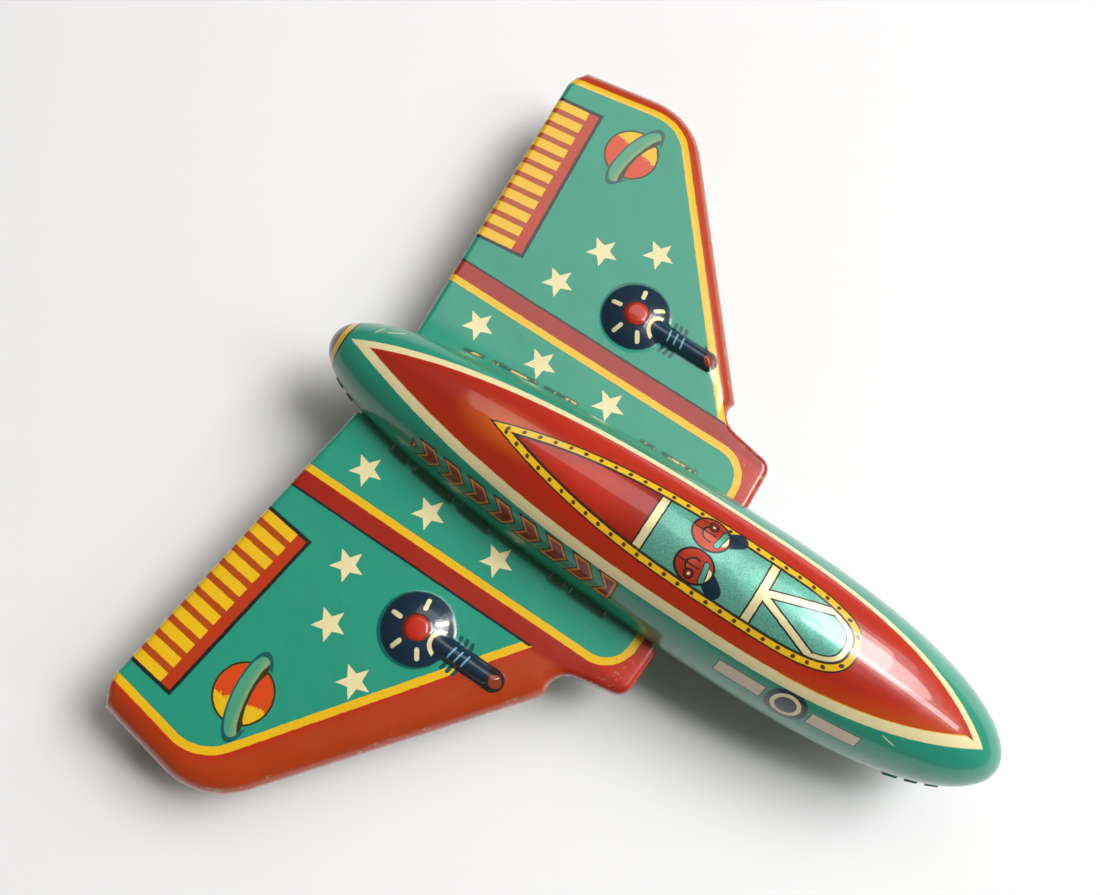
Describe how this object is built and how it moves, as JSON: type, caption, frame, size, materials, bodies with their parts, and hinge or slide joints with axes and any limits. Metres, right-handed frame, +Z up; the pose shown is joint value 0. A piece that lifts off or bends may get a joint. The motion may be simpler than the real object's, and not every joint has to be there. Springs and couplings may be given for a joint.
{
  "type": "tinplate toy airplane",
  "caption": "Small lithographed tinplate toy jet with swept wings, printed crew and gun turrets, rolling on rubber-tyred wheels with a friction flywheel drive.",
  "frame": {"origin": "on the ground and on the middle plane, 75 mm ahead of the tail's end", "axes": "+X towards the nose, +Y towards the left wing tip, +Z up"},
  "size_m": [0.1484, 0.168, 0.0356],
  "materials": {
    "teal_litho": "gloss lacquer over printed tin",
    "red_litho": "gloss lacquer over printed tin",
    "plated_steel": "bright zinc plate",
    "gear_brass": "stamped, dull",
    "flywheel_iron": "turned",
    "black_rubber": "satin"
  },
  "bodies": {
    "airframe": {"upper_shell": "teal_litho", "belly_shell": "teal_litho", "wing_sheet": "red_litho", "motor_plate_left": "plated_steel", "motor_plate_right": "plated_steel", "motor_posts": "plated_steel", "tail_fork": "plated_steel", "tail_pin": "plated_steel"},
    "drive_wheels": {"drive_axle": "plated_steel", "drive_gear": "gear_brass", "wheel_hub_left": "plated_steel", "wheel_hub_right": "plated_steel", "tyre_left": "black_rubber", "tyre_right": "black_rubber"},
    "idler": {"idler_arbor": "plated_steel", "idler_pinion": "gear_brass", "idler_gear": "gear_brass"},
    "flywheel": {"flywheel_arbor": "plated_steel", "flywheel_pinion": "gear_brass", "flywheel": "flywheel_iron"},
    "tail_roller": {"tail_wheel": "black_rubber"}
  },
  "joints": [
    {"name": "drive_spin", "type": "hinge", "parent": "airframe", "child": "drive_wheels", "pos_m": [0.014, 0, 0.009], "axis": [0, 1, 0], "continuous": true},
    {"name": "idler_spin", "type": "hinge", "parent": "airframe", "child": "idler", "pos_m": [0.00757, 0, 0.0144], "axis": [0, 1, 0], "continuous": true},
    {"name": "flywheel_spin", "type": "hinge", "parent": "airframe", "child": "flywheel", "pos_m": [-0.00089, 0, 0.01748], "axis": [0, 1, 0], "continuous": true},
    {"name": "tail_wheel_spin", "type": "hinge", "parent": "airframe", "child": "tail_roller", "pos_m": [-0.048, 0, 0.0033], "axis": [0, 1, 0], "continuous": true}
  ],
  "couplings": [
    {"joint": "drive_spin", "follows": "flywheel_spin", "ratio": 0.14545},
    {"joint": "idler_spin", "follows": "flywheel_spin", "ratio": -0.36364}
  ]
}
